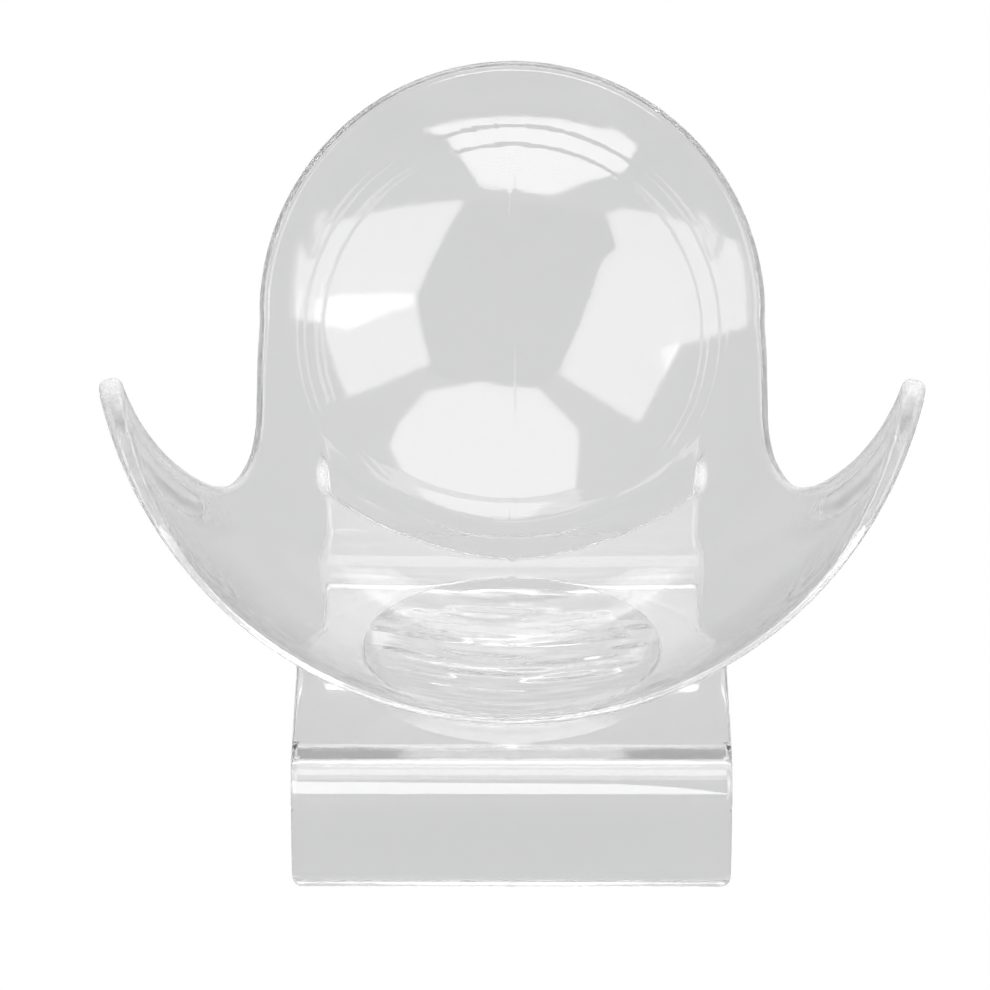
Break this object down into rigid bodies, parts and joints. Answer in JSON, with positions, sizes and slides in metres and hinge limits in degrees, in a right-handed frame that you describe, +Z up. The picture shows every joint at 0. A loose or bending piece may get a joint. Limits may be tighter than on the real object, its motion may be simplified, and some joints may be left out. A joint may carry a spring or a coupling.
{
  "type": "football display stand",
  "caption": "Clear moulded cradle for showing off a ball: round backrest, upswept side arms and a hollow seat on a bridge-shaped base.",
  "frame": {"origin": "middle of the box's underside, on the surface that the stand rests on", "axes": "+Z up, +Y towards the backrest, +X to the right of a viewer who faces the front wall"},
  "size_m": [0.1784, 0.1432, 0.1353],
  "materials": {
    "clear_plastic": "clear, polished, with a faint moulding ripple"
  },
  "bodies": {
    "root": {"backrest": "clear_plastic", "left_arm": "clear_plastic", "right_arm": "clear_plastic", "seat_bowl": "clear_plastic", "rear_leg": "clear_plastic", "foot_deck": "clear_plastic", "front_wall": "clear_plastic"}
  },
  "joints": []
}
